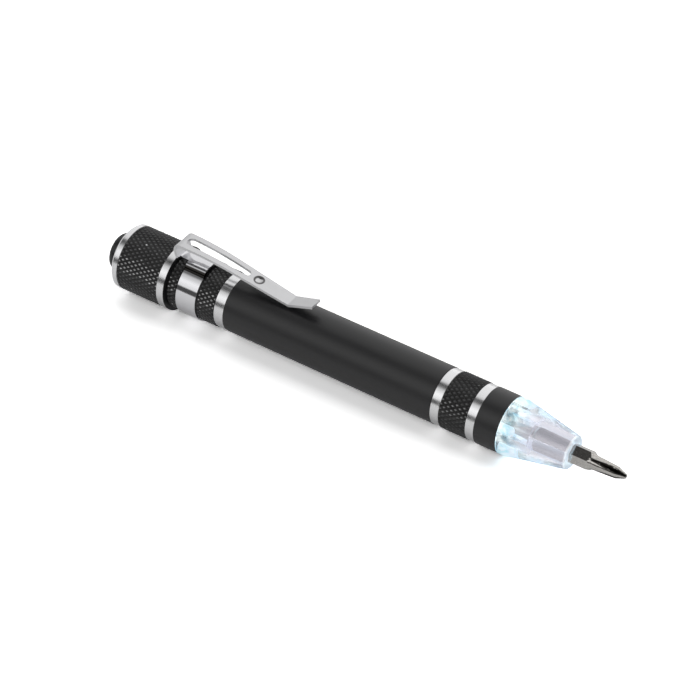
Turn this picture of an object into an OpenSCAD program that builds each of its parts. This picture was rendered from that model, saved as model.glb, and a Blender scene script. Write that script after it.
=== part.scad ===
// Pocket screwdriver with a lit nose.
// A knurled aluminium handle carries a steel pocket clip, three button cells, spare bits and
// a clear nose whose hexagon holds a double-ended bit. A button in the tail cap lights the nose.
// The axis runs along X: the nose face is at x = 0, the bit points to +X and the clip is on top.

/* [Handle tube] */
// Outside diameter of the smooth handle
barrel_d = 13.4; // [12.9:0.1:14]
// Bore of the handle round the bit magazine
barrel_bore_d = 11; // [10.9:0.1:11.2]
// Length of the smooth grip between its two bright rings
grip_l = 55.4; // [54:0.5:80]
// Length of the bright ring behind the grip
grip_ring_l = 2.5; // [1.5:0.1:4]
// Length of the knurl between that ring and the clip band
mid_knurl_l = 4.9; // [4:0.1:8]
// Length of the knurl between the clip band and the cap
rear_knurl_l = 2.9; // [2:0.1:5]
// Length of the threaded spigot that the tail cap screws on
cap_spigot_l = 5.3; // [5:0.1:6]
// Diameter of that spigot
cap_spigot_d = 11.8; // [11.6:0.1:11.9]
// Thickness of the web across the handle bore
web_l = 3; // [2:0.1:4]

/* [Tail cap] */
// Diameter over the knurl of the cap
cap_d = 15.8; // [15:0.1:17]
// Length of the cap without its button
cap_l = 15.1; // [14.3:0.1:18]
// Length of the bright ring at the rear end
cap_rear_ring_l = 1.7; // [1.2:0.1:2.5]
// Length of the bright ring at the mouth
cap_front_ring_l = 1.9; // [1.2:0.1:2.5]
// Thickness of the rear wall
cap_wall = 1.8; // [1.2:0.1:2]
// Diameter of the press button
button_d = 9.2; // [8:0.1:9.4]
// How far the button stands proud of the cap
button_proud = 3.9; // [2.5:0.1:5]
// Travel of the button
button_travel = 1.2; // [0.6:0.1:1.4]

/* [Knurling] */
// Length of one diamond along the axis
diamond_l = 1.85; // [1.4:0.05:3]
// Width of one diamond round the handle
diamond_w = 1.1; // [0.9:0.05:2]
// Depth of the knurl grooves
knurl_h = 0.32; // [0.1:0.02:0.4]
// Height of the knurl tips over the smooth handle behind the clip band
rear_knurl_lift = 0.2; // [0:0.05:0.3]
// Height of the knurl tips over the smooth handle on the front sleeve
front_knurl_lift = 0.1; // [0:0.05:0.3]
// How far the bright rings are turned down below what they sit beside
ring_cut = 0.07; // [0.02:0.01:0.12]

/* [Front sleeve and nose] */
// Length of the smooth collar behind the clear nose
collar_l = 5.6; // [4.5:0.1:8]
// Length of each bright ring on the sleeve
sleeve_ring_l = 2.1; // [1.2:0.1:3]
// Length of the sleeve's knurl
sleeve_knurl_l = 6.9; // [5:0.1:10]
// Length of the threaded spigot inside the handle
sleeve_spigot_l = 5; // [4:0.1:6]
// Length of the clear nose's cylindrical land
nose_land_l = 1.2; // [0.8:0.1:2]
// Length of the clear nose's taper
nose_taper_l = 14.3; // [13.5:0.1:17]
// Diameter of the nose face
nose_tip_d = 7.8; // [7:0.1:9]
// Chamfer round the nose face
nose_chamfer = 0.35; // [0.1:0.05:0.6]
// Depth of the hexagon behind the nose face
hex_depth = 9.5; // [8:0.1:10.5]

/* [Bits] */
// Width across flats of the hexagon bits
bit_af = 4; // [3.8:0.1:4]
// Length of a double-ended bit
bit_l = 30; // [29.5:0.1:30.5]
// Length of the hexagon between its two ends
bit_hex_l = 12.4; // [11:0.1:14]
// How far the bit's tip stands out of the nose
bit_proud = 13; // [12.6:0.1:13.4]
// Diameter behind the driving tip
bit_neck_d = 3.3; // [2.8:0.1:3.5]
// Diameter where the point begins
bit_point_d = 2.7; // [2.4:0.1:3]
// Turn of the fitted bit about its axis, in degrees
bit_turn = -35; // [-60:5:60]
/* [Pocket clip] */
// Thickness of the clip's steel strip
sheet = 0.65; // [0.4:0.05:0.7]
// Width of the band round the handle
band_l = 5.5; // [5:0.1:8]
// Gap where the band's ends meet under the handle
band_gap = 1.4; // [0.8:0.1:3]
// Width of the raised bridge on top of the band
bridge_w = 6.5; // [6:0.1:7]
// Height of the bridge's top over the handle's surface
bridge_rise = 1.1; // [1.1:0.05:2]
// Radius along the bridge's upper edges
bridge_r = 1.8; // [1:0.1:1.8]
// Width of the neck that runs from the bridge to the rise
neck_w = 2.8; // [2:0.1:2.9]
// Length of that neck behind the band
neck_l = 1.7; // [1:0.05:1.8]
// Width of the arm at its root
arm_root_w = 5.3; // [4.6:0.05:6]
// Width of the arm at its low bend
arm_bend_w = 3.6; // [3.4:0.05:5]
// Width at the end of the lip
lip_w = 3.2; // [2:0.05:3.6]
// Length of the arm from its root to the low bend
arm_l = 29.2; // [27:0.1:36]
// Length of the arched shoulder at the arm's root
arch_l = 14; // [8:0.1:16]
// Length of the turned-up lip
lip_l = 6.7; // [4:0.1:9]
// Length of the steep rise between neck and arm
riser_l = 1.85; // [1.7:0.05:3]
// Slope of that rise, in degrees
riser_slope = 77; // [70:1:85]
// How much steeper the arm falls after its arched shoulder, in degrees
arm_arch = 10.7; // [8:0.1:12]
// Rise of the lip, in degrees
lip_rise = 19; // [10:1:30]
// Inside radius of the bends
bend_r = 0.5; // [0.4:0.05:0.8]
// Inside radius of the fold at the arm's root
fold_r = 1.2; // [0.8:0.05:1.3]
// Length of the arm's slot
slot_l = 17.4; // [8:0.1:18]
// Width of the slot's rear end
slot_w = 2.5; // [1:0.1:2.6]
// Width of the slot's front end
slot_end_w = 1.8; // [1:0.1:2]
// Start of the slot, from the root of the arm
slot_start = 0.3; // [0.2:0.1:1.5]
// Place of the pressed dimple, from the root of the arm
dimple_at = 20.1; // [19.8:0.1:24]
// Diameter of the dimple
dimple_d = 2.2; // [1:0.1:2.4]
// Depth of the dimple
dimple_h = 0.4; // [0.2:0.05:0.5]

/* [Cells and contacts] */
// Diameter of a button cell
cell_d = 7.9; // [7.5:0.1:7.9]
// Height of a button cell
cell_h = 3.6; // [3.4:0.05:3.6]
// Wall of the cell cartridge
cartridge_wall = 0.65; // [0.5:0.05:0.7]
// Diameter of the brass rod that runs up the handle
rod_d = 1.2; // [1:0.1:1.2]
// Diameter of the button's contact pin
pin_d = 2.4; // [1.6:0.1:2.6]
// Diameter of the sprung contact at the front of the rod
thimble_d = 2; // [1.8:0.1:2.2]
// Wire of the button's spring
button_wire = 0.35; // [0.25:0.05:0.4]
// Wire of the cell spring and the front spring
contact_wire = 0.25; // [0.2:0.05:0.3]
// Diameter of the magnet behind the bit
magnet_d = 4; // [3:0.1:4.2]
// Length of that magnet
magnet_l = 1.9; // [1.5:0.1:2.2]
// Diameter of a lamp
lamp_d = 2; // [1.6:0.1:2]
// Length of a lamp
lamp_l = 4.1; // [3:0.1:4.4]

/* [Hidden] */
$fn = 96;

// Clearances
// Radial play of sliding and turning fits
fit = 0.05;
// Gap between faces that come apart
seam = 0.1;
// Play round pieces that are dropped in
play = 0.1;
// Overrun of cuts past a face
over = 0.5;
// Lap of one turned form into the next
turned_lap = 0.12;
// Length of the plain land between a knurl and a groove or shoulder
land_l = 0.25;
// Lap of a knurl's end into the ring beside it, its run from there up to full height, and its depth inside
knurl_lap = 0.08;
knurl_run = 0.2;
knurl_sink = 0.3;

// Radii of the outside
barrel_r = barrel_d / 2;
bore_r = barrel_bore_d / 2;
cap_r = cap_d / 2;
spigot_r = cap_spigot_d / 2;
rear_knurl_r = barrel_r + rear_knurl_lift;
land_r = barrel_r - knurl_sink / 2;
sleeve_knurl_r = barrel_r + front_knurl_lift;
bright_r = barrel_r - ring_cut;
cap_ring_r = cap_r - ring_cut;

// Places along the axis, from the nose face back to the button
nose_l = nose_taper_l + nose_land_l;
sleeve_front_x = -nose_l;
collar_rear_x = sleeve_front_x - collar_l;
sleeve_knurl_x1 = collar_rear_x - sleeve_ring_l;
sleeve_knurl_x0 = sleeve_knurl_x1 - sleeve_knurl_l;
sleeve_rear_x = sleeve_knurl_x0 - sleeve_ring_l;
sleeve_spigot_x = sleeve_rear_x - sleeve_spigot_l;
barrel_front_x = sleeve_rear_x - seam;
grip_rear_x = sleeve_rear_x - grip_l;
mid_knurl_x1 = grip_rear_x - grip_ring_l;
band_front_x = mid_knurl_x1 - mid_knurl_l;
band_rear_x = band_front_x - band_l;
shoulder_x = band_rear_x - rear_knurl_l;
spigot_rear_x = shoulder_x - cap_spigot_l;
cap_front_x = shoulder_x - seam;
cap_rear_x = shoulder_x - cap_l;
cap_knurl_x0 = cap_rear_x + cap_rear_ring_l;
cap_knurl_x1 = cap_front_x - cap_front_ring_l;
cap_floor_x = cap_rear_x + cap_wall;
cap_chamfer = 0.45;

// Rubber ring in its groove on the cap spigot
seal_d = 0.8;
seal_w = seal_d + 2 * play;
seal_land = 0.4;
seal_x = shoulder_x - seal_land - seal_w / 2;
seal_floor_r = spigot_r - seal_d;

// Clip band and its groove
groove_depth = 0.25;
groove_r = barrel_r - groove_depth;
band_in_r = groove_r + fit / 2;
band_out_r = band_in_r + sheet;
bridge_top = barrel_r + bridge_rise;
dimple_r = (pow(dimple_d / 2, 2) + pow(dimple_h, 2)) / (2 * dimple_h);

// Cell cartridge: its flange sits between the barrel's end and the switch housing
flange_l = 0.8;
flange_gap = play / 2;
cartridge_in_r = cell_d / 2 + play;
cartridge_out_r = cartridge_in_r + cartridge_wall;
cartridge_rear_x = spigot_rear_x - flange_gap - flange_l;
cartridge_flange_r = spigot_r - 4 * play;
rear_bore_r = cartridge_out_r + play;
cell_seat_x = spigot_rear_x + flange_gap;
cell_gap = 0.02;
cell_step_share = 0.1;
cell_cap_share = 0.72;
cell_cap_foot_share = 0.76;
cell_gasket_share = 0.97;
cells_front_x = cell_seat_x + 3 * (cell_h + cell_gap);
cartridge_front_x = cells_front_x + flange_l;
spring_room = 2.1;
rod_head_x = cells_front_x + spring_room;
rod_head_l = 0.5;
bush_r = 2;
bush_flange_l = 0.6;
bush_flange_r = 2.7;
rear_bore_x = rod_head_x + rod_head_l + bush_flange_l;
web_front_x = rear_bore_x + web_l;

// Switch: housing floor, button flange, washer and spring
housing_floor_l = 1.3;
housing_floor_x1 = cartridge_rear_x - flange_gap;
housing_floor_x0 = housing_floor_x1 - housing_floor_l;
housing_r = spigot_r + fit / 2;
skirt_wall = 0.8;
housing_rim_l = flange_l + flange_gap;
skirt_in_r = housing_r - skirt_wall;
cap_bore_r = spigot_r + fit;
button_r = button_d / 2;
button_hole_r = button_r + play;
button_flange_r = skirt_in_r - play;
button_flange_l = 1;
button_round = 1.3;
button_crown = 0.35;
button_rear_x = cap_rear_x - button_proud;
button_flange_x = cap_floor_x + fit;
washer_l = 0.3;
washer_front_x = housing_floor_x0;
washer_tab_w = 1.6;
pin_tip_x = cell_seat_x - button_travel - play;
pin_rear_x = button_flange_x - button_flange_l;
pin_r = pin_d / 2;

// Bits and the magazine round the contact rod
bit_corner_r = bit_af / sqrt(3);
pocket_af = bit_af + play + fit;
pocket_corner_r = pocket_af / sqrt(3);
rod_r = rod_d / 2;
pocket_wall_share = 0.12;
bit_pitch_r = rod_r + fit + pocket_wall_share * bit_af + pocket_af / 2;
magazine_r = bore_r - play;
relief_end = 2;
relief_w = 4.2;
relief_floor = 2.2;
magazine_rear_x = web_front_x + play;
thimble_r = thimble_d / 2;
thimble_bore_r = rod_r + fit;
thimble_end_l = 1;
thimble_hold = 2.25;
unscrew_clear = 0.25;
front_travel = sleeve_spigot_l + unscrew_clear;
thimble_l = thimble_end_l + front_travel + thimble_hold;
front_spring_l = 3;

// Lamp module in the sleeve and the nose
collar_wall = 0.7;
nose_spigot_r = barrel_r - collar_wall;
nose_spigot_l = 2.5;
nose_rear_x = sleeve_front_x - nose_spigot_l;
board_l = 1;
board_rim = 0.55;
board_recess = 1.05;
board_r = nose_spigot_r - board_rim;
board_front_x = sleeve_front_x - board_recess;
board_rear_x = board_front_x - board_l;
socket_play = 0.55;
socket_bore_r = bit_corner_r + socket_play;
lamp_wall = 0.3;
lamp_ring_r = socket_bore_r + lamp_wall + lamp_d / 2;
lamp_r = lamp_d / 2;
lamp_turn = 60;
bit_rear_x = bit_proud - bit_l;
magnet_front_x = bit_rear_x - 3 * play;
magnet_rear_x = magnet_front_x - magnet_l;
carrier_front_x = nose_rear_x;
carrier_l = 3.8;
carrier_rear_x = carrier_front_x - carrier_l;
boss_wall = 0.55;
carrier_boss_r = magnet_d / 2 + boss_wall;
stem_r = 2.6;
stem_l = 8;
stem_rear_x = carrier_rear_x - stem_l;
rivet_head_l = 0.5;
rivet_head_r = 1.6;
rivet_l = 3;
rivet_r = 0.8;
thimble_front_x = stem_rear_x - rivet_head_l - fit;
thimble_rear_x = thimble_front_x - thimble_l;
rod_front_x = thimble_front_x - thimble_end_l;
sleeve_bore_r = nose_spigot_r + fit;
sleeve_step_x = carrier_rear_x - fit;
sleeve_wall = 1.2;
sleeve_rear_bore_r = bore_r - sleeve_wall;
magazine_front_x = thimble_rear_x - front_spring_l;
bit_mouth = 0.7;
pocket_x = magazine_front_x - bit_mouth - bit_l - play;

// Turns of the springs
front_coils = 5;
cell_coils = 3;
button_coils = 4;

// Shares of the bits' shape: cone behind the hexagon, driving flutes and point, of an end's length
neck_cone_share = 0.12;
flute_share = 0.66;
point_share = 0.25;
bit_end_l = (bit_l - bit_hex_l) / 2;
point_tip_r = 0.5;
flute_core_r = 0.3;
flute_half_angle = 46;
blade_h = 0.5;

// Points on a turned outline are [place along the axis, radius]
module turned(outline) {
    rotate([0, 90, 0])
        rotate_extrude()
            polygon([for (p = outline) [p[1], p[0]]]);
}

// A round bar from x0 to x1
module bar(x0, x1, r) {
    translate([x0, 0, 0])
        rotate([0, 90, 0])
            cylinder(h = x1 - x0, r = r);
}

// A tube from x0 to x1
module tube(x0, x1, r_out, r_in) {
    difference() {
        bar(x0, x1, r_out);
        bar(x0 - over, x1 + over, r_in);
    }
}

// A flat section drawn in Y and Z, run from x0 to x1
module section(x0, x1) {
    translate([x0, 0, 0])
        rotate([90, 0, 90])
            linear_extrude(x1 - x0)
                children();
}

// A hexagonal bar with a flat facing +Z
module hex_bar(x0, x1, af) {
    section(x0, x1)
        circle(r = af / sqrt(3), $fn = 6);
}

// Diamond knurling as a solid plug: grooves cross at the low points and each diamond rises to a tip
function starts(r) = round(2 * PI * r / diamond_w);
function columns(l) = max(2, round(2 * l / diamond_l));

// Each end runs down inside the ring or land beside it, whose radius is given
module knurl(x0, x1, tip_r, rear_r, front_r) {
    low_r = tip_r - knurl_h;
    cols = columns(x1 - x0 - 2 * knurl_run);
    step = (x1 - x0 - 2 * knurl_run) / cols;
    // Each ring of points is [place along the axis, one radius, the other radius]
    rings = concat(
        [[x0 - knurl_lap, rear_r - knurl_sink, rear_r - knurl_sink]],
        [
            for (k = [0:cols])
                let (x = x0 + knurl_run + k * step)
                    k % 2 == 0 ? [x, low_r, tip_r] : [x, tip_r, low_r]
        ],
        [[x1 + knurl_lap, front_r - knurl_sink, front_r - knurl_sink]]
    );
    around = 2 * starts(tip_r);
    last = len(rings) - 1;
    points = [
        for (k = [0:last], j = [0:around - 1])
            let (r = rings[k][1 + j % 2], a = 360 * j / around)
                [rings[k][0], r * sin(a), r * cos(a)]
    ];
    sides = [
        for (k = [0:last - 1], j = [0:around - 1])
            let (
                p = k * around + j,
                q = k * around + (j + 1) % around,
                even = (k + j) % 2 == 1
            )
                each even
                    ? [[p, q + around, p + around], [p, q, q + around]]
                    : [[p, q, p + around], [p + around, q, q + around]]
    ];
    rear = [for (j = [0:around - 1]) around - 1 - j];
    front = [for (j = [0:around - 1]) last * around + j];
    polyhedron(points = points, faces = concat(sides, [rear, front]));
}

// Coil spring along the axis, from x0 to x1, its radius going from r0 to r1
module coil(x0, x1, r0, r1, wire, turns) {
    around = 14;
    sides = 6;
    n = round(around * turns);
    run = x1 - x0 - 2 * wire;
    function centre(i) =
        let (s = i / n, a = 360 * turns * s, r = r0 + (r1 - r0) * s)
            [x0 + wire + run * s, r * sin(a), r * cos(a)];
    points = [
        for (i = [0:n])
            let (
                a = 360 * turns * i / n,
                c = centre(i),
                ahead = centre(i + 1) - centre(i - 1),
                t = ahead / norm(ahead),
                out = [0, sin(a), cos(a)],
                b = cross(t, out)
            )
                for (k = [0:sides - 1])
                    c + wire / 2 * (cos(360 * k / sides) * out + sin(360 * k / sides) * b)
    ];
    skin = [
        for (i = [0:n - 1], k = [0:sides - 1])
            let (p = i * sides + k, q = i * sides + (k + 1) % sides)
                each [[p, q, q + sides], [p, q + sides, p + sides]]
    ];
    first = [for (k = [0:sides - 1]) sides - 1 - k];
    last = [for (k = [0:sides - 1]) n * sides + k];
    polyhedron(points = points, faces = concat(skin, [first, last]));
}

// Handle tube: smooth grip, knurled bands, clip groove, cap spigot and bores
module barrel() {
    difference() {
        union() {
            color("#1c1c1e")
                bar(grip_rear_x, barrel_front_x, barrel_r);
            color("#d8d8da")
                bar(mid_knurl_x1, grip_rear_x + turned_lap, bright_r);
            color("#262628")
                knurl(band_front_x + land_l, mid_knurl_x1, rear_knurl_r, land_r, bright_r);
            color("#1c1c1e") {
                bar(band_front_x, band_front_x + land_l, land_r);
                bar(band_rear_x - turned_lap, band_front_x + turned_lap, groove_r);
                bar(band_rear_x - land_l, band_rear_x, land_r);
                bar(shoulder_x, shoulder_x + land_l, land_r);
            }
            color("#262628")
                knurl(shoulder_x + land_l, band_rear_x - land_l, rear_knurl_r, land_r, land_r);
            color("#b8b8ba")
                bar(spigot_rear_x, shoulder_x + turned_lap, spigot_r);
        }
        bar(spigot_rear_x - over, rear_bore_x, rear_bore_r);
        bar(rear_bore_x - over, web_front_x + over, bush_r);
        bar(web_front_x, barrel_front_x + over, bore_r);
        tube(seal_x - seal_w / 2, seal_x + seal_w / 2, spigot_r + over, seal_floor_r);
    }
}

// Rubber ring that seals the cap's thread
module cap_seal() {
    color("#202020")
        translate([seal_x, 0, 0])
            rotate([0, 90, 0])
                rotate_extrude()
                    translate([spigot_r - seal_d / 2, 0])
                        circle(d = seal_d, $fn = 32);
}

// The clip's strip: the straight run before each bend, the bend in degrees and its radius on the outer face
arch_r = arch_l * 180 / (PI * arm_arch);
clip_runs = [band_l - fit + neck_l, riser_l, 0, arm_l - arch_l, lip_l];
clip_turns = [riser_slope, 180 - riser_slope, arm_arch, -(arm_arch + lip_rise)];
clip_radii = [sheet + bend_r, sheet + fold_r, arch_r, -bend_r];
bend_steps = 10;

// A place on the strip's outer face is [distance back, height, heading in degrees]
function after_run(s, l) = [s[0] + l * cos(s[2]), s[1] + l * sin(s[2]), s[2]];
function after_bend(s, turn, r) =
    let (h = s[2] + turn)
        [s[0] + r * (sin(h) - sin(s[2])), s[1] + r * (cos(s[2]) - cos(h)), h];
function run_start(i) =
    i == 0 ? [0, 0, 0] : after_bend(run_end(i - 1), clip_turns[i - 1], clip_radii[i - 1]);
function run_end(i) = after_run(run_start(i), clip_runs[i]);
function across(s, t) = [s[0] - t * sin(s[2]), s[1] + t * cos(s[2])];

// Places along the strip from the start of one run to the end of another
function strip_path(first, last) = [
    for (i = [first:last])
        each concat(
            clip_runs[i] > 0 ? [run_start(i)] : [],
            i == last
                ? [run_end(i)]
                : [
                    for (k = [0:bend_steps - 1])
                        after_bend(run_end(i), clip_turns[i] * k / bend_steps, clip_radii[i])
                ]
        )
];

// Side view of the strip along a path
module strip_side(path) {
    last = len(path) - 1;
    polygon(concat(
        [for (s = path) across(s, 0)],
        [for (k = [0:last]) across(path[last - k], sheet)]
    ));
}

// Plan of the strip from the rise on: straight to the root of the arm, then tapering to the bend and the lip
module strip_plan() {
    rear = run_start(2)[0] + 3 * (sheet + fold_r);
    places = [
        [rear, arm_root_w],
        [run_start(2)[0], arm_root_w],
        [run_end(3)[0], arm_bend_w],
        [run_end(4)[0], lip_w]
    ];
    polygon(concat(
        [for (p = places) [p[0], p[1] / 2]],
        [for (k = [0:3]) [places[3 - k][0], -places[3 - k][1] / 2]]
    ));
}

// Places its children on the arm, at a distance from its root, with X along it and Y through the sheet
module at_arm(l) {
    s = l < arch_l
        ? after_bend(run_start(2), arm_arch * l / arch_l, arch_r)
        : after_run(run_start(3), l - arch_l);
    translate([s[0], s[1], 0])
        rotate([0, 0, s[2]])
            children();
}

// Band with its raised bridge, drawn across the handle
module band_section() {
    difference() {
        union() {
            circle(r = band_out_r);
            bridge_shape(bridge_w / 2, bridge_top, bridge_r);
        }
        circle(r = band_in_r);
        bridge_shape(bridge_w / 2 - sheet, bridge_top - sheet, bridge_r - sheet);
        translate([-band_gap / 2, -band_out_r - over])
            square([band_gap, band_out_r]);
    }
}

module bridge_shape(half, top, r) {
    translate([-half, 0])
        square([2 * half, top - r]);
    translate([-half + r, 0])
        square([2 * (half - r), top]);
    for (side = [-1, 1])
        translate([side * (half - r), top - r])
            circle(r = r);
}

// Steel clip in one strip: band, bridge, neck, rise, slotted arm and turned-up lip
module pocket_clip() {
    reach = bridge_w + riser_l + arm_l;
    color("#d0d2d4") {
        section(band_rear_x + fit, band_front_x - fit)
            band_section();
        translate([band_front_x - fit, 0, bridge_top - sheet])
            mirror([1, 0, 0])
                rotate([90, 0, 0])
                    difference() {
                        union() {
                            linear_extrude(neck_w, center = true)
                                strip_side(strip_path(0, 1));
                            intersection() {
                                linear_extrude(bridge_w, center = true)
                                    strip_side(strip_path(1, 4));
                                translate([0, reach, 0])
                                    rotate([90, 0, 0])
                                        linear_extrude(2 * reach)
                                            strip_plan();
                            }
                            at_arm(dimple_at)
                                dimple(dimple_r + sheet, sheet / 2);
                        }
                        arm_slot();
                        at_arm(dimple_at)
                            dimple(dimple_r, -over);
                    }
    }
}

// Ball that presses the dimple, and the part of it beyond one face of the strip
module dimple(r, face) {
    intersection() {
        translate([0, dimple_h - dimple_r, 0])
            sphere(r = r);
        translate([0, face, 0])
            rotate([-90, 0, 0])
                cylinder(h = sheet + dimple_h + over, r = dimple_d / 2 + sheet / 2);
    }
}

// Tapered slot with round ends
module arm_slot() {
    rear_x = slot_w / 2 - slot_l / 2;
    front_x = slot_l / 2 - slot_end_w / 2;
    at_arm(slot_start + slot_l / 2)
        translate([0, slot_w, 0])
            rotate([90, 0, 0])
                linear_extrude(slot_w + over) {
                    translate([rear_x, 0])
                        circle(d = slot_w);
                    translate([front_x, 0])
                        circle(d = slot_end_w);
                    polygon([
                        [rear_x, -slot_w / 2],
                        [front_x, -slot_end_w / 2],
                        [front_x, slot_end_w / 2],
                        [rear_x, slot_w / 2]
                    ]);
                }
}

// Insulating bush in the web of the handle
module rod_bush() {
    color("#e8e4d8")
        difference() {
            union() {
                bar(rear_bore_x, web_front_x, bush_r - fit / 2);
                bar(rear_bore_x - bush_flange_l + fit, rear_bore_x, bush_flange_r);
            }
            bar(rod_head_x, web_front_x + over, rod_r + fit / 2);
        }
}

// Brass rod from the cells to the front contact
module contact_rod() {
    color("#c8a040") {
        bar(rod_head_x, rod_front_x, rod_r);
        bar(rod_head_x, rod_head_x + rod_head_l, bush_r);
    }
}

// Moulded magazine: open channels hold the spare bits round the rod
module bit_magazine() {
    color("#303234")
        difference() {
            turned([
                [magazine_rear_x, 0],
                [magazine_rear_x, magazine_r - seam],
                [magazine_rear_x + seam, magazine_r],
                [magazine_front_x - bit_mouth, magazine_r],
                [magazine_front_x, magazine_r - bit_mouth],
                [magazine_front_x, 0]
            ]);
            bar(magazine_rear_x - over, magazine_front_x + over, rod_r + fit);
            for (a = [0, 120, 240])
                rotate([a, 0, 0]) {
                    translate([0, 0, bit_pitch_r])
                        hex_bar(pocket_x, magazine_front_x + over, pocket_af);
                    section(pocket_x, magazine_front_x + over)
                        translate([-pocket_corner_r / 2, bit_pitch_r])
                            square([pocket_corner_r, bore_r]);
                    section(magazine_rear_x + relief_end, pocket_x - relief_end)
                        translate([-relief_w / 2, relief_floor])
                            square([relief_w, bore_r]);
                }
        }
}

// One end of a bit, from the middle of its hexagon to its tip
module bit_end(kind) {
    neck_x = bit_hex_l / 2 + neck_cone_share * bit_end_l;
    end_x = bit_l / 2;
    point_x = end_x - point_share * bit_end_l;
    difference() {
        union() {
            intersection() {
                hex_bar(0, neck_x, bit_af);
                turned([
                    [0, 0],
                    [0, bit_corner_r + seam],
                    [bit_hex_l / 2, bit_corner_r],
                    [neck_x, bit_neck_d / 2],
                    [neck_x, 0]
                ]);
            }
            turned([
                [bit_hex_l / 2 - seam, 0],
                [bit_hex_l / 2 - seam, bit_neck_d / 2],
                [neck_x, bit_neck_d / 2],
                [point_x, bit_point_d / 2],
                [end_x, kind == "slot" ? bit_point_d / 2 : point_tip_r],
                [end_x, 0]
            ]);
        }
        if (kind == "cross")
            for (a = [45:90:315])
                rotate([a, 0, 0])
                    flute();
        if (kind == "slot")
            for (a = [0, 180])
                rotate([a, 0, 0])
                    blade_face();
    }
}

// A V-shaped flute that deepens towards the tip
module flute() {
    slope = atan((bit_neck_d / 2 - flute_core_r) / (flute_share * bit_end_l));
    translate([bit_l / 2, 0, flute_core_r])
        rotate([0, slope, 0])
            section(-bit_end_l, bit_end_l)
                polygon([
                    [0, 0],
                    bit_neck_d * [tan(flute_half_angle), 1],
                    bit_neck_d * [-tan(flute_half_angle), 1]
                ]);
}

// A slope that thins a flat blade towards its end
module blade_face() {
    slope = atan((bit_neck_d / 2 - blade_h / 2) / (flute_share * bit_end_l));
    translate([bit_l / 2, 0, blade_h / 2])
        rotate([0, slope, 0])
            translate([-bit_end_l, -bit_neck_d, 0])
                cube([2 * bit_end_l, 2 * bit_neck_d, bit_neck_d]);
}

// A double-ended bit, centred on the origin
module bit(front, rear) {
    color("#8c8c8e") {
        bit_end(front);
        mirror([1, 0, 0])
            bit_end(rear);
    }
}

module spare_bit(a, front, rear) {
    rotate([a, 0, 0])
        translate([pocket_x + play + bit_l / 2, 0, bit_pitch_r])
            bit(front, rear);
}

module spare_bit_1() {
    spare_bit(0, "slot", "cross");
}

module spare_bit_2() {
    spare_bit(120, "cross", "slot");
}

module spare_bit_3() {
    spare_bit(240, "slot", "slot");
}

// Spring that pushes the front contact forward
module front_spring() {
    color("#c0c0c0")
        coil(
            magazine_front_x + fit, thimble_rear_x - fit,
            thimble_r - contact_wire / 2, thimble_r - contact_wire / 2, contact_wire, front_coils
        );
}

// Thimble that slides on the rod and rests on the sleeve's rivet
module front_contact() {
    color("#c8a040")
        difference() {
            turned([
                [thimble_rear_x, 0],
                [thimble_rear_x, thimble_r],
                [thimble_front_x - thimble_r / 2, thimble_r],
                [thimble_front_x, thimble_r / 2],
                [thimble_front_x, 0]
            ]);
            bar(thimble_rear_x - over, rod_front_x + fit, thimble_bore_r);
        }
}

// Plastic tube that holds the three cells, with a flange behind the handle's end
module cell_cartridge() {
    color("#e8e4d8")
        difference() {
            union() {
                bar(cartridge_rear_x, cartridge_front_x, cartridge_out_r);
                bar(cartridge_rear_x, cartridge_rear_x + flange_l, cartridge_flange_r);
            }
            bar(cell_seat_x, cartridge_front_x + over, cartridge_in_r);
            bar(cartridge_rear_x - over, cell_seat_x + over, cartridge_in_r - 2 * cartridge_wall);
        }
}

// A button cell: can, step of the gasket and raised cap
module cell(i) {
    x0 = cell_seat_x + i * (cell_h + cell_gap);
    step_l = cell_step_share * cell_h;
    r = cell_d / 2;
    color("#d8d8d8")
        turned([
            [x0, 0],
            [x0, r * cell_cap_share],
            [x0 + step_l, r * cell_cap_foot_share],
            [x0 + step_l, r * cell_gasket_share],
            [x0 + 2 * step_l, r],
            [x0 + cell_h - step_l / 2, r],
            [x0 + cell_h, r - step_l / 2],
            [x0 + cell_h, 0]
        ]);
}

module cell_1() {
    cell(0);
}

module cell_2() {
    cell(1);
}

module cell_3() {
    cell(2);
}

// Conical spring between the front cell and the rod's head
module cell_spring() {
    color("#c0c0c0")
        coil(
            cells_front_x + cell_gap, rod_head_x - fit,
            cartridge_in_r - contact_wire - play, bush_r - contact_wire, contact_wire, cell_coils
        );
}

// Knurled cap with a bright ring at each end, its thread bore and the button's hole
module tail_cap() {
    difference() {
        union() {
            color("#262628")
                knurl(cap_knurl_x0, cap_knurl_x1, cap_r, cap_ring_r, cap_ring_r);
            color("#d8d8da")
                turned([
                    [cap_rear_x, 0],
                    [cap_rear_x, cap_ring_r - cap_chamfer],
                    [cap_rear_x + cap_chamfer, cap_ring_r],
                    [cap_knurl_x0, cap_ring_r],
                    [cap_knurl_x0, 0]
                ]);
            color("#d8d8da")
                bar(cap_knurl_x1, cap_front_x, cap_ring_r);
        }
        bar(cap_floor_x, cap_front_x + over, cap_bore_r);
        bar(cap_rear_x - over, cap_floor_x + over, button_hole_r);
    }
}

// Plastic cup that guides the button and takes the cartridge's flange
module switch_housing() {
    color("#e8e4d8")
        difference() {
            bar(cap_floor_x, housing_floor_x1 + housing_rim_l, housing_r);
            bar(cap_floor_x - over, housing_floor_x0, skirt_in_r);
            bar(housing_floor_x0 - over, housing_floor_x1 + over, pin_r + play);
            bar(housing_floor_x1, housing_floor_x1 + housing_rim_l + over, cartridge_flange_r + play);
            translate([washer_front_x - 2 * washer_l, -washer_tab_w / 2 - play, 0])
                cube([2 * washer_l, washer_tab_w + 2 * play, housing_r + over]);
        }
}

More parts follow.
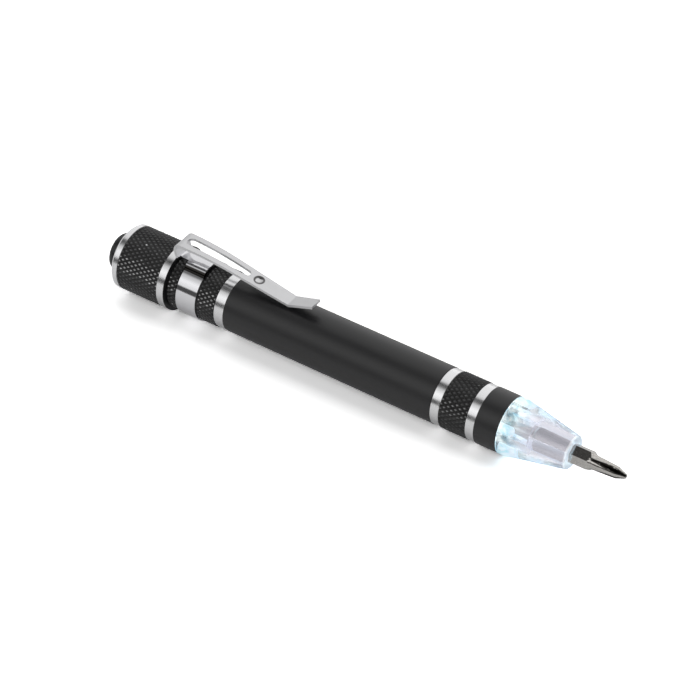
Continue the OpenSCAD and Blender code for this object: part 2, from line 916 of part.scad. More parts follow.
// Brass washer under the spring, its tab reaching the cap's bore through the skirt
module contact_washer() {
    color("#c8a040")
        difference() {
            union() {
                bar(washer_front_x - washer_l, washer_front_x, skirt_in_r - play);
                translate([washer_front_x - washer_l, -washer_tab_w / 2, 0])
                    cube([washer_l, washer_tab_w, housing_r - play]);
            }
            bar(washer_front_x - washer_l - over, washer_front_x + over, pin_r + 2 * play);
        }
}

// Spring under the button
module button_spring() {
    color("#c0c0c0")
        coil(
            button_flange_x + button_flange_l + fit, washer_front_x - washer_l - fit,
            button_flange_r - 4 * button_wire, button_flange_r - 4 * button_wire,
            button_wire, button_coils
        );
}

// Press button: domed end with a rounded edge, and a flange that keeps it in the cap
module tail_button() {
    edge_r = button_r - button_round;
    steps = 8;
    color("#18181a")
        difference() {
            turned(concat(
                [[button_rear_x, 0], [button_rear_x + button_crown / 4, edge_r / 2]],
                [
                    for (i = [0:steps])
                        let (a = 90 * i / steps)
                            [
                                button_rear_x + button_crown + button_round * (1 - cos(a)),
                                edge_r + button_round * sin(a)
                            ]
                ],
                [
                    [button_flange_x, button_r],
                    [button_flange_x, button_flange_r],
                    [button_flange_x + button_flange_l, button_flange_r],
                    [button_flange_x + button_flange_l, 0]
                ]
            ));
            bar(pin_rear_x, button_flange_x + button_flange_l + over, pin_r + fit / 2);
        }
}

// Brass pin that the button pushes against the cells
module contact_pin() {
    color("#c8a040")
        turned([
            [pin_rear_x, 0],
            [pin_rear_x, pin_r],
            [pin_tip_x - pin_r / 2, pin_r],
            [pin_tip_x, pin_r / 2],
            [pin_tip_x, 0]
        ]);
}

// Front sleeve: rear spigot, two bright rings, knurl and smooth collar
module front_sleeve() {
    difference() {
        union() {
            color("#b8b8ba")
                bar(sleeve_spigot_x, sleeve_rear_x + over, bore_r - fit);
            color("#d8d8da")
                bar(sleeve_rear_x, sleeve_knurl_x0, bright_r);
            color("#262628")
                knurl(sleeve_knurl_x0, sleeve_knurl_x1, sleeve_knurl_r, bright_r, bright_r);
            color("#d8d8da")
                bar(sleeve_knurl_x1, collar_rear_x + turned_lap, bright_r);
            color("#1c1c1e")
                bar(collar_rear_x, sleeve_front_x, barrel_r);
        }
        bar(sleeve_step_x, sleeve_front_x + over, sleeve_bore_r);
        bar(sleeve_spigot_x - over, sleeve_step_x + over, sleeve_rear_bore_r);
    }
}

// Clear nose: land, taper, lamp pockets, socket bore and hexagon
module light_nose() {
    tip_r = nose_tip_d / 2;
    color([0.8, 0.9, 1, 0.4])
        difference() {
            turned([
                [nose_rear_x, 0],
                [nose_rear_x, nose_spigot_r],
                [sleeve_front_x, nose_spigot_r],
                [sleeve_front_x, barrel_r],
                [sleeve_front_x + nose_land_l, barrel_r],
                [-nose_chamfer, tip_r],
                [0, tip_r - nose_chamfer],
                [0, 0]
            ]);
            bar(nose_rear_x - over, board_front_x, board_r + fit);
            bar(board_front_x - over, -hex_depth, socket_bore_r);
            rotate([bit_turn, 0, 0])
                hex_bar(-hex_depth - over, over, bit_af + 2 * fit);
            for (i = [0:2])
                at_lamp(i)
                    bar(-over, lamp_l + play, lamp_r + fit);
        }
}

// Places its children at one lamp's foot
module at_lamp(i) {
    rotate([lamp_turn + 120 * i, 0, 0])
        translate([board_front_x, 0, lamp_ring_r])
            children();
}

// Plastic carrier: disc behind the board, boss round the magnet and stem to the rivet
module lamp_carrier() {
    color("#e8e4d8")
        difference() {
            union() {
                bar(carrier_rear_x, carrier_front_x, nose_spigot_r);
                bar(carrier_front_x - over, board_rear_x - fit, carrier_boss_r);
                bar(stem_rear_x, carrier_rear_x + over, stem_r);
            }
            bar(magnet_rear_x, board_rear_x + over, magnet_d / 2 + fit / 2);
            bar(stem_rear_x - over, stem_rear_x + rivet_l, rivet_r + fit / 2);
        }
}

// Brass rivet in the end of the stem
module contact_rivet() {
    color("#c8a040") {
        bar(stem_rear_x - rivet_head_l, stem_rear_x, rivet_head_r);
        bar(stem_rear_x - rivet_head_l, stem_rear_x + rivet_l - fit, rivet_r);
    }
}

// Magnet that holds the bit's inner end
module socket_magnet() {
    color("#9a9a9c")
        bar(magnet_rear_x, magnet_front_x, magnet_d / 2);
}

// Ring-shaped lamp board
module lamp_board() {
    color("#2a6a5a")
        tube(board_rear_x, board_front_x, board_r, socket_bore_r);
}

// A lamp with a domed end
module lamp(i) {
    color([0.95, 0.98, 1, 0.8])
        at_lamp(i)
            rotate([0, 90, 0]) {
                cylinder(h = lamp_l - lamp_r, r = lamp_r);
                translate([0, 0, lamp_l - lamp_r])
                    sphere(r = lamp_r);
            }
}

module lamp_1() {
    lamp(0);
}

module lamp_2() {
    lamp(1);
}

module lamp_3() {
    lamp(2);
}

// The bit in use
module driver_bit() {
    translate([bit_proud - bit_l / 2, 0, 0])
        rotate([bit_turn, 0, 0])
            bit("cross", "slot");
}

barrel();
pocket_clip();
cap_seal();
rod_bush();
contact_rod();
bit_magazine();
spare_bit_1();
spare_bit_2();
spare_bit_3();
front_spring();
cell_cartridge();
cell_1();
cell_2();
cell_3();
cell_spring();
tail_cap();
switch_housing();
contact_washer();
button_spring();
tail_button();
contact_pin();
front_contact();
front_sleeve();
light_nose();
lamp_carrier();
contact_rivet();
socket_magnet();
lamp_board();
lamp_1();
lamp_2();
lamp_3();
driver_bit();
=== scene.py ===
"""Looks of the pocket screwdriver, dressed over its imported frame."""

import bmesh
import bpy
import numpy as np
from bpy.props import FloatProperty, FloatVectorProperty, PointerProperty
from bpy.types import Operator, Panel, PropertyGroup
from mathutils import Matrix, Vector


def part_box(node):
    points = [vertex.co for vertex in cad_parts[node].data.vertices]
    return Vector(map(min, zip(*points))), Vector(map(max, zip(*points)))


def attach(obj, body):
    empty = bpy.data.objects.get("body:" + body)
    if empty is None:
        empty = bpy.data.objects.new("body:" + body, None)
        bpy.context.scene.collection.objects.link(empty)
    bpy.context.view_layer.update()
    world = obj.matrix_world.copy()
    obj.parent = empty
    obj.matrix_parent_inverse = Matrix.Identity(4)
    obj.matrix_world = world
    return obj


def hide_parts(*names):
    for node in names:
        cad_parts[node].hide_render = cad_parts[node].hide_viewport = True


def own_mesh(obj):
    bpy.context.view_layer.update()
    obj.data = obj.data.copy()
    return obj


bl_info = {
    "name": "Pocket screwdriver looks",
    "version": (1, 0, 0),
    "blender": (4, 5, 0),
    "location": "3D View > Sidebar > Screwdriver",
    "description": "Finishes for the handle, cap, clip, clear nose and bit, with the stage around them",
    "category": "Object",
}

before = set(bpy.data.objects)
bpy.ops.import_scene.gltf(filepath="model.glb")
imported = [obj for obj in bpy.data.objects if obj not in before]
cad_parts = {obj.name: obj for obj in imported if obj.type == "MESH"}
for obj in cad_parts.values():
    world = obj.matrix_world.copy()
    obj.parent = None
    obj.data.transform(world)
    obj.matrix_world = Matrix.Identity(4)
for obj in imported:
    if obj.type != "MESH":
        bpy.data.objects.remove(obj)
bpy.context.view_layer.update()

MM = 0.001

# Bodies of the frame that new pieces ride on
HANDLE = "handle"
CAP = "cap"
BUTTON = "button"
FRONT = "front"
BIT = "bit"

# Camera of the photograph: its place, its axes and its lens on a 36 mm sensor
CAMERA_PLACE = (0.2016, -0.3825, 0.4066)
CAMERA_RIGHT = (0.82797, 0.56077, 0.0)
CAMERA_UP = (-0.37003, 0.54635, 0.75138)
CAMERA_BACK = (0.42135, -0.62212, 0.65987)
CAMERA_LENS = 142.72
CAMERA_SENSOR = 36

# Bright rings, from and to in mm along the axis
HANDLE_RINGS = [(-90.1, -87.6), (-110, -103.41)]
CAP_RINGS = [(-118.6, -116.8), (-105.4, -103.56)]
SLEEVE_RINGS = [(-38, -30.1), (-23.2, -21.1)]

# Knurls, from and to in mm along the axis, radius of their tips in mm and share of the tips that is rubbed
# bright in patches or made bright as a painted highlight along two lines
HANDLE_KNURLS = [(-94.9, -90.15, 6.9, 1.0), (-103.3, -100.6, 6.9, 0.8)]
CAP_KNURLS = [(-116.7, -105.5, 7.9, 1.0)]
SLEEVE_KNURLS = [(-30.0, -23.3, 6.8, 0.4)]

# Height of a knurl, pitch of the lathe's lines and softness of a finish's border, in mm
KNURL_H = 0.3
LATHE_PITCH = 0.05
BORDER = 0.01

# Plain finishes: name, colour, metallic, roughness and the nodes that wear them
PLAIN_FINISHES = (
    ("Black plastic", (0.02, 0.02, 0.022), 0.0, 0.38, ("tail_button", "bit_magazine")),
    ("White plastic", (0.8, 0.79, 0.74), 0.0, 0.45,
     ("cell_cartridge", "switch_housing", "lamp_carrier", "rod_bush")),
    ("Brass", (0.80, 0.58, 0.24), 1.0, 0.25,
     ("contact_rod", "contact_washer", "contact_pin", "front_contact", "contact_rivet")),
    ("Plated steel", (0.7, 0.7, 0.7), 1.0, 0.25,
     ("front_spring", "cell_spring", "button_spring", "cell_1", "cell_2", "cell_3", "socket_magnet")),
    ("Seal rubber", (0.015, 0.015, 0.015), 0.0, 0.6, ("cap_seal",)),
    ("Board lacquer", (0.8, 0.85, 0.85), 0.0, 0.35, ("lamp_board",)),
)

# Studio light round the handle: angle from the top in degrees and brightness
SKY_STOPS = (
    (-180, 0.85), (-100, 0.85), (-93, 0.75), (-88, 0.08), (-74, 0.08), (-69, 0.95), (-50, 1.15), (-30, 0.75),
    (-19, 0.17), (-12, 0.06), (-5, 0.06), (4, 0.8), (20, 0.9), (60, 0.95), (110, 1.3), (180, 0.9),
)


class FinishSettings(PropertyGroup):
    """Colours of the finishes."""

    black: FloatVectorProperty(
        name="Black", description="Colour of the satin black anodising",
        subtype="COLOR", size=3, min=0, max=1, default=(0.007, 0.007, 0.008))
    bright: FloatVectorProperty(
        name="Bright", description="Colour of the turned rings",
        subtype="COLOR", size=3, min=0, max=1, default=(0.83, 0.83, 0.84))
    clip: FloatVectorProperty(
        name="Clip", description="Colour of the brushed arm of the clip",
        subtype="COLOR", size=3, min=0, max=1, default=(0.69, 0.69, 0.70))
    chrome: FloatVectorProperty(
        name="Chrome", description="Colour of the polished band and bridge of the clip",
        subtype="COLOR", size=3, min=0, max=1, default=(0.78, 0.78, 0.80))
    bit: FloatVectorProperty(
        name="Bit steel", description="Colour of the bits",
        subtype="COLOR", size=3, min=0, max=1, default=(0.62, 0.60, 0.57))
    clear: FloatVectorProperty(
        name="Clear nose", description="Tint of the clear nose",
        subtype="COLOR", size=3, min=0, max=1, default=(0.95, 0.93, 0.99))
    clear_edge: FloatVectorProperty(
        name="Clear edge", description="Tint of the clear nose where it is seen edge on",
        subtype="COLOR", size=3, min=0, max=1, default=(0.60, 0.78, 0.97))
    # Painted light: strength of the emission of the clear nose, which stands in for the lamps' light in it.
    painted_light: FloatProperty(
        name="Glow", description="Strength of the lamps' light in the clear nose",
        min=0, max=2, default=0.25)


class NoseSettings(PropertyGroup):
    """Sizes of the clear nose."""

    collar_d: FloatProperty(
        name="Rear diameter", description="Diameter where the nose meets the collar",
        unit="LENGTH", min=0.012, max=0.015, default=0.0134)
    tip_d: FloatProperty(
        name="Tip diameter", description="Diameter at the front edge",
        unit="LENGTH", min=0.006, max=0.010, default=0.0078)
    land_l: FloatProperty(
        name="Land", description="Length of the straight stretch behind the taper",
        unit="LENGTH", min=0.0005, max=0.003, default=0.0012)
    edge_r: FloatProperty(
        name="Front edge radius", description="Radius of the rounded front edge",
        unit="LENGTH", min=0.0001, max=0.001, default=0.00035)
    socket_af: FloatProperty(
        name="Socket width", description="Width across the flats of the hexagon socket",
        unit="LENGTH", min=0.0038, max=0.0045, default=0.0041)
    socket_l: FloatProperty(
        name="Socket depth", description="Depth of the hexagon socket",
        unit="LENGTH", min=0.005, max=0.012, default=0.0095)
    socket_turn: FloatProperty(
        name="Socket turn", description="Angle of the hexagon's first corner from the top",
        subtype="ANGLE", min=-1.0, max=1.0, default=np.radians(5))


class ClipSettings(PropertyGroup):
    """Sizes of the clip's rounded edges, and the place and size of the painted shade that rings its dimple.
    """

    edge: FloatProperty(
        name="Clip edge", description="Width of the rounded edges of the clip",
        unit="LENGTH", min=0.00002, max=0.0003, default=0.00012)
    # Place and size of the dimple's dark rim, which is painted shade.
    dimple_x: FloatProperty(
        name="Dimple place", description="Place of the dimple along the handle",
        unit="LENGTH", min=-0.09, max=-0.07, default=-0.0819)
    dimple_d: FloatProperty(
        name="Dimple diameter", description="Diameter of the dimple's dark rim",
        unit="LENGTH", min=0.001, max=0.003, default=0.0024)


class BitSettings(PropertyGroup):
    """Sizes of the fitted bit."""

    across_flats: FloatProperty(
        name="Hexagon", description="Width of the hexagon across the flats",
        unit="LENGTH", min=0.0038, max=0.0040, default=0.0040)
    hexagon_l: FloatProperty(
        name="Hexagon length", description="Length of the full hexagon",
        unit="LENGTH", min=0.011, max=0.014, default=0.0124)
    cone_l: FloatProperty(
        name="Cone length", description="Length of the cone between the hexagon and the neck",
        unit="LENGTH", min=0.0005, max=0.002, default=0.00106)
    neck_d: FloatProperty(
        name="Neck diameter", description="Diameter of the neck behind the point",
        unit="LENGTH", min=0.0028, max=0.0035, default=0.0033)
    point_d: FloatProperty(
        name="Point diameter", description="Diameter where the point begins",
        unit="LENGTH", min=0.0024, max=0.0030, default=0.0027)
    point_l: FloatProperty(
        name="Point length", description="Length of the point's cone",
        unit="LENGTH", min=0.001, max=0.004, default=0.0022)
    tip_d: FloatProperty(
        name="Tip diameter", description="Diameter of the blunt tip",
        unit="LENGTH", min=0.0004, max=0.002, default=0.001)
    blade_h: FloatProperty(
        name="Blade", description="Thickness of the flat blade at the inner end",
        unit="LENGTH", min=0.0003, max=0.001, default=0.0005)
    flute_l: FloatProperty(
        name="Flute length", description="Length of the four flutes of the cross-head tip",
        unit="LENGTH", min=0.004, max=0.007, default=0.0068)
    blade_l: FloatProperty(
        name="Blade length", description="Length of the slopes that thin the inner end to its blade",
        unit="LENGTH", min=0.004, max=0.007, default=0.0058)
    flute_core: FloatProperty(
        name="Flute core", description="Distance from the axis to a flute's bottom at the tip",
        unit="LENGTH", min=0.0001, max=0.0006, default=0.0003)
    flute_half_angle: FloatProperty(
        name="Flute half angle", description="Angle between a flute's wall and its middle",
        subtype="ANGLE", min=0.6, max=1.0, default=np.radians(46))
    hexagon_turn: FloatProperty(
        name="Hexagon turn", description="Angle of the hexagon's first corner from the top",
        subtype="ANGLE", min=-1.0, max=1.0, default=np.radians(5))
    flute_turn: FloatProperty(
        name="Flute turn", description="Angle of the nearest flute from the top",
        subtype="ANGLE", min=-1.0, max=1.0, default=np.radians(-33))


class StageSettings(PropertyGroup):
    """Sizes of the stage."""

    floor_w: FloatProperty(
        name="Floor width", description="Width of the square floor",
        unit="LENGTH", min=0.5, max=10, default=4.0)
    floor_slope: FloatProperty(
        name="Floor slope",
        description="Rise of the floor per metre along the handle, which rests on its cap and nose",
        min=0, max=0.05, default=0.0134)
    sky: FloatProperty(
        name="Sky", description="Strength of the studio light",
        min=0, max=5, default=1.0)


def settings():
    """The finish settings of the scene."""
    return bpy.context.scene.driver_finish


def ring_of_points(along, radius, angle):
    """Points of a turned surface: x is the place along the axis, y is radius times the sine and z is
    radius times the cosine of the angle from the top."""
    y = radius * np.sin(angle)
    z = radius * np.cos(angle)
    return np.stack([np.broadcast_to(along, y.shape), y, z], -1)


def hexagon_radius(angle, across_flats, corner):
    """Distance from the axis to a hexagon: half the width across flats, divided by the cosine of the
    angle from the middle of the nearest flat."""
    from_flat = np.mod(angle - corner, np.pi / 3) - np.pi / 6
    return across_flats / 2 / np.cos(from_flat)


def grid_faces(rows, columns, closed):
    """Quads of a grid that closes round its columns, and from its last row to its first if closed."""
    row, column = np.meshgrid(np.arange(rows if closed else rows - 1), np.arange(columns), indexing="ij")
    next_row = (row + 1) % rows
    next_column = (column + 1) % columns
    corners = [row * columns + column, row * columns + next_column,
               next_row * columns + next_column, next_row * columns + column]
    return np.stack(corners, -1).reshape(-1, 4)


def rounded(before, corner, after, radius, steps=5):
    """Points of a rounded corner of a profile: a quadratic curve from the tangent point on one side to
    the tangent point on the other, with the corner as its middle control point."""
    before, corner, after = (np.array(point, float) for point in (before, corner, after))
    start = corner + (before - corner) / np.linalg.norm(before - corner) * radius
    stop = corner + (after - corner) / np.linalg.norm(after - corner) * radius
    t = np.linspace(0, 1, steps)[:, None]
    return ((1 - t) ** 2 * start + 2 * t * (1 - t) * corner + t ** 2 * stop).tolist()


def surface_piece(name, points, closed, material, body, node, crease=30):
    """Makes a piece of a grid of points in metres, with its faces outwards, its poles closed and its
    edges sharp above the crease angle, and puts it on its body in place of the node."""
    rows, columns = points.shape[:2]
    faces = grid_faces(rows, columns, closed)
    points = points.reshape(-1, 3)
    a, b, c, d = (points[faces[:, k]] for k in range(4))
    volume = (np.cross(a, b) * c).sum() + (np.cross(a, c) * d).sum()
    if volume < 0:
        faces = faces[:, ::-1]
    mesh = bpy.data.meshes.new(name)
    mesh.from_pydata(points.tolist(), [], faces.tolist())
    shape = bmesh.new()
    shape.from_mesh(mesh)
    bmesh.ops.remove_doubles(shape, verts=shape.verts, dist=1e-7)
    shape.to_mesh(mesh)
    shape.free()
    return place_piece(name, mesh, crease, material, body, node)


def merged_copy(name, node, body, material, crease=30):
    """A merged copy of a CAD node."""
    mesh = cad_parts[node].data.copy()
    shape = bmesh.new()
    shape.from_mesh(mesh)
    bmesh.ops.remove_doubles(shape, verts=shape.verts, dist=1e-6)
    bmesh.ops.dissolve_limit(shape, angle_limit=np.radians(0.5), verts=shape.verts, edges=shape.edges)
    shape.to_mesh(mesh)
    shape.free()
    return place_piece(name, mesh, crease, material, body, node)


def rounded_copy(name, node, body, material, width, crease=30):
    """A merged copy of a CAD node whose edges are rounded to a width."""
    piece = merged_copy(name, node, body, material, crease)
    bevel = piece.modifiers.new("rounded edges", "BEVEL")
    bevel.width = width
    bevel.segments = 3
    bevel.limit_method = "ANGLE"
    bevel.angle_limit = np.radians(crease)
    bevel.harden_normals = True
    return piece


def place_piece(name, mesh, crease, material, body, node):
    """Links a piece, smooths its faces, and puts it on its body in place of the node."""
    mesh.polygons.foreach_set("use_smooth", np.ones(len(mesh.polygons), bool))
    mesh.polygons.foreach_set("material_index", np.zeros(len(mesh.polygons), np.int32))
    mesh.set_sharp_from_angle(angle=np.radians(crease))
    mesh.materials.clear()
    mesh.materials.append(material)
    piece = bpy.data.objects.new(name, mesh)
    bpy.context.scene.collection.objects.link(piece)
    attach(piece, body)
    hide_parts(node)
    return piece


class Shade:
    """Short calls for the nodes of one tree."""

    def __init__(self, tree):
        self.tree = tree
        self.nodes = tree.nodes
        self.links = tree.links

    def add(self, kind, inputs=None, **options):
        """A new node, with its options set and its inputs linked or filled."""
        node = self.nodes.new(kind)
        for name, value in options.items():
            setattr(node, name, value)
        for name, value in (inputs or {}).items():
            self.feed(node.inputs[name], value)
        return node

    def feed(self, socket, value):
        """Links a socket to another one, or sets its value."""
        if isinstance(value, bpy.types.NodeSocket):
            self.links.new(value, socket)
        elif isinstance(value, (tuple, list)) and len(value) == 3 and socket.type == "RGBA":
            socket.default_value = (*value, 1)
        else:
            socket.default_value = value

    def math(self, operation, a, b=None, c=None, clamp=False):
        """One sum on one to three values."""
        node = self.add("ShaderNodeMath", operation=operation, use_clamp=clamp)
        for socket, value in zip(node.inputs, (a, b, c)):
            if value is not None:
                self.feed(socket, value)
        return node.outputs[0]

    def smooth(self, value, low, high):
        """0 below low, 1 above high, and a smooth step between."""
        node = self.add(
            "ShaderNodeMapRange", interpolation_type="SMOOTHSTEP",
            inputs={"Value": value, "From Min": low, "From Max": high})
        return node.outputs["Result"]

    def fall(self, value, low, high):
        """1 below low, 0 above high, and a smooth step between."""
        return self.math("SUBTRACT", 1.0, self.smooth(value, low, high))

    def between(self, value, low, high, soft):
        """1 between low and high, and 0 outside, with soft edges."""
        rise = self.smooth(value, low - soft, low + soft)
        fall = self.smooth(value, high - soft, high + soft)
        return self.math("SUBTRACT", rise, fall, clamp=True)

    def mix(self, factor, a, b):
        """Colour a where factor is 0, and b where it is 1."""
        node = self.add("ShaderNodeMix", data_type="RGBA", inputs={"Factor": factor})
        self.feed(node.inputs[6], a)
        self.feed(node.inputs[7], b)
        return node.outputs[2]

    def blend(self, factor, a, b):
        """Value a where factor is 0, and b where it is 1."""
        node = self.add("ShaderNodeMix", data_type="FLOAT", inputs={"Factor": factor})
        self.feed(node.inputs[2], a)
        self.feed(node.inputs[3], b)
        return node.outputs[0]

    def place(self):
        """Object coordinates."""
        return self.add("ShaderNodeTexCoord").outputs["Object"]

    def noise(self, vector, scale, detail=2.0, roughness=0.5):
        """A noise value."""
        return self.add(
            "ShaderNodeTexNoise",
            inputs={"Vector": vector, "Scale": scale, "Detail": detail, "Roughness": roughness},
        ).outputs["Fac"]

    def stretch(self, vector, scale):
        """A vector scaled by three factors."""
        return self.add("ShaderNodeMapping", inputs={"Vector": vector, "Scale": scale}).outputs["Vector"]

    def group(self, name, inputs=None):
        """A node group by its name."""
        return self.add("ShaderNodeGroup", node_tree=bpy.data.node_groups[name], inputs=inputs)

    def bump(self, height, strength, distance):
        """A normal that follows a height."""
        inputs = {"Height": height, "Strength": strength, "Distance": distance}
        return self.add("ShaderNodeBump", inputs=inputs).outputs[0]


def empty_tree(owner):
    """Clears the nodes of a material or a world, and gives their short calls."""
    owner.use_nodes = True
    shade = Shade(owner.node_tree)
    shade.nodes.clear()
    return shade


def new_material(name):
    """An empty material with a Principled shader, and its short calls."""
    material = bpy.data.materials.new(name)
    shade = empty_tree(material)
    principled = shade.add("ShaderNodeBsdfPrincipled")
    output = shade.add("ShaderNodeOutputMaterial")
    shade.links.new(principled.outputs[0], output.inputs["Surface"])
    return material, shade, principled


def dress(node, material):
    """Gives a frame node one material."""
    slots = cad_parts[node].data.materials
    slots.clear()
    slots.append(material)
    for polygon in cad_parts[node].data.polygons:
        polygon.material_index = 0


def group_sockets(tree, inputs, outputs):
    """Names the sockets of a node group: [name, kind, default]."""
    for name, kind, default in inputs:
        socket = tree.interface.new_socket(name=name, in_out="INPUT", socket_type=kind)
        if default is not None:
            socket.default_value = default
    for name, kind in outputs:
        tree.interface.new_socket(name=name, in_out="OUTPUT", socket_type=kind)


def axis_group():
    """Node group: place along the tool in mm, distance from its axis in mm, and angle round it."""
    tree = bpy.data.node_groups.new("Round the axis", "ShaderNodeTree")
    group_sockets(
        tree, [],
        [("Along", "NodeSocketFloat"), ("Radius", "NodeSocketFloat"), ("Angle", "NodeSocketFloat")])
    shade = Shade(tree)
    xyz = shade.add("ShaderNodeSeparateXYZ", inputs={"Vector": shade.place()})
    out = shade.add("NodeGroupOutput")
    across = shade.add("ShaderNodeCombineXYZ", inputs={"Y": xyz.outputs["Y"], "Z": xyz.outputs["Z"]})
    length = shade.add("ShaderNodeVectorMath", operation="LENGTH", inputs={0: across.outputs[0]})
    shade.feed(out.inputs["Along"], shade.math("MULTIPLY", xyz.outputs["X"], 1000.0))
    shade.feed(out.inputs["Radius"], shade.math("MULTIPLY", length.outputs["Value"], 1000.0))
    shade.feed(out.inputs["Angle"], shade.math("ARCTAN2", xyz.outputs["Y"], xyz.outputs["Z"]))
    return tree


def turned_group():
    """Node group: the fine lines that a lathe leaves round a ring, as a height and a roughness."""
    tree = bpy.data.node_groups.new("Turned lines", "ShaderNodeTree")
    group_sockets(
        tree,
        [("Pitch", "NodeSocketFloat", 0.05), ("Roughness", "NodeSocketFloat", 0.2)],
        [("Height", "NodeSocketFloat"), ("Roughness", "NodeSocketFloat")])
    shade = Shade(tree)
    entry = shade.add("NodeGroupInput")
    out = shade.add("NodeGroupOutput")
    axis = shade.group("Round the axis")
    line = shade.math("DIVIDE", axis.outputs["Along"], entry.outputs["Pitch"])
    around = shade.math("MULTIPLY", axis.outputs["Angle"], 0.6)
    flat = shade.add("ShaderNodeCombineXYZ", inputs={"X": line, "Y": around})
    lines = shade.noise(flat.outputs[0], scale=1.0, detail=3.0, roughness=0.6)
    smear = shade.noise(shade.place(), scale=900.0, detail=3.0, roughness=0.6)
    rough = shade.math("MULTIPLY_ADD", smear, 0.14, -0.07)
    shade.feed(out.inputs["Height"], lines)
    shade.feed(out.inputs["Roughness"], shade.math("ADD", entry.outputs["Roughness"], rough))
    return tree


def grain_group():
    """Node group: the fine grain of blasted and anodised metal, and faint cloudy shifts of its tone."""
    tree = bpy.data.node_groups.new("Blasted grain", "ShaderNodeTree")
    group_sockets(
        tree,
        [("Colour", "NodeSocketColor", (0.02, 0.02, 0.02, 1)), ("Roughness", "NodeSocketFloat", 0.4)],
        [("Colour", "NodeSocketColor"), ("Roughness", "NodeSocketFloat"), ("Height", "NodeSocketFloat")])
    shade = Shade(tree)
    entry = shade.add("NodeGroupInput")
    out = shade.add("NodeGroupOutput")
    place = shade.place()
    fine = shade.noise(place, scale=9000.0, detail=2.0, roughness=0.6)
    cloud = shade.noise(place, scale=90.0, detail=3.0, roughness=0.5)
    tone = shade.math("MULTIPLY_ADD", cloud, 0.5, 0.75)
    colour = shade.add("ShaderNodeVectorMath", operation="SCALE",
                       inputs={0: entry.outputs["Colour"], "Scale": tone})
    rough = shade.math("MULTIPLY_ADD", cloud, 0.08, -0.04)
    shade.feed(out.inputs["Colour"], colour.outputs[0])
    shade.feed(out.inputs["Roughness"], shade.math("ADD", entry.outputs["Roughness"], rough))
    shade.feed(out.inputs["Height"], fine)
    return tree


def rubbed_group():
    """Node group: how far the tips of a knurl are rubbed bare in patches, made bright as a painted highlight
    along two lines round the axis, and the depth of a point in the grooves."""
    tree = bpy.data.node_groups.new("Rubbed tips and painted glints", "ShaderNodeTree")
    group_sockets(
        tree,
        [("Tip", "NodeSocketFloat", 7.0), ("Height", "NodeSocketFloat", 0.3)],
        [("Bare and glint", "NodeSocketFloat"), ("Tips", "NodeSocketFloat"), ("Groove", "NodeSocketFloat")])
    shade = Shade(tree)
    entry = shade.add("NodeGroupInput")
    out = shade.add("NodeGroupOutput")
    axis = shade.group("Round the axis")
    below = shade.math("SUBTRACT", entry.outputs["Tip"], axis.outputs["Radius"])
    depth = shade.math("DIVIDE", below, entry.outputs["Height"])
    # Painted highlight: along these two lines round the axis the tips are made bright metal.
    near = shade.between(axis.outputs["Angle"], -1.30, -0.88, 0.08)
    far = shade.between(axis.outputs["Angle"], 1.87, 2.28, 0.10)
    line = shade.math("MAXIMUM", near, far)
    patch = shade.noise(shade.place(), scale=800.0, detail=2.0, roughness=0.5)
    wear_and_glint = shade.math("MULTIPLY_ADD", line, 0.45, patch)
    bare_and_glint = shade.smooth(wear_and_glint, 0.60, 0.76)
    tip = shade.fall(depth, 0.18, 0.60)
    shade.feed(out.inputs["Bare and glint"], shade.math("MULTIPLY", tip, bare_and_glint))
    shade.feed(out.inputs["Tips"], tip)
    shade.feed(out.inputs["Groove"], shade.smooth(depth, 0.15, 0.95))
    return tree


def black_and_bright(name, rings, knurls):
    """Anodised aluminium, turned away to bright metal at the rings, with knurls whose tips are rubbed in
    patches and carry a painted highlight along two lines, and painted shade in their grooves.
    """
    material, shade, principled = new_material(name)
    axis = shade.group("Round the axis")
    along = axis.outputs["Along"]
    grain = shade.group("Blasted grain", {"Colour": tuple(settings().black), "Roughness": 0.42})
    turned = shade.group("Turned lines", {"Pitch": LATHE_PITCH, "Roughness": 0.2})
    bright = 0.0
    for start, stop in rings:
        bright = shade.math("MAXIMUM", bright, shade.between(along, start, stop, BORDER))
    worn_and_glint = 0.0
    tips = 0.0
    groove_shade = 0.0
    for start, stop, tip, bare_and_glint_share in knurls:
        band = shade.between(along, start, stop, BORDER)
        rubbed = shade.group("Rubbed tips and painted glints", {"Tip": tip, "Height": KNURL_H})
        some = shade.math("MULTIPLY", band, bare_and_glint_share)
        worn_and_glint = shade.math("MAXIMUM", worn_and_glint, shade.math("MULTIPLY", some, rubbed.outputs["Bare and glint"]))
        tips = shade.math("MAXIMUM", tips, shade.math("MULTIPLY", some, rubbed.outputs["Tips"]))
        groove_shade = shade.math("MAXIMUM", groove_shade, shade.math("MULTIPLY", band, rubbed.outputs["Groove"]))
    # The metal share takes in the rings, the rubbed tips and the painted highlight lines of the knurls.
    metal = shade.math("MAXIMUM", bright, shade.math("MULTIPLY", worn_and_glint, 0.85))
    black = shade.mix(shade.math("MULTIPLY", tips, 0.8), grain.outputs["Colour"], (0.12, 0.12, 0.125))
    # Painted shade: the knurls' grooves are darkened towards black with their depth.
    black = shade.mix(groove_shade, black, (0.001, 0.001, 0.001))
    colour = shade.mix(metal, black, tuple(settings().bright))
    rough = shade.blend(metal, grain.outputs["Roughness"], turned.outputs["Roughness"])
    shade.feed(principled.inputs["Base Color"], colour)
    shade.feed(principled.inputs["Metallic"], metal)
    shade.feed(principled.inputs["Roughness"], rough)
    principled.inputs["Specular IOR Level"].default_value = 0.65
    height = shade.blend(bright, grain.outputs["Height"], turned.outputs["Height"])
    shade.feed(principled.inputs["Normal"], shade.bump(height, strength=0.12, distance=0.00004))
    return material


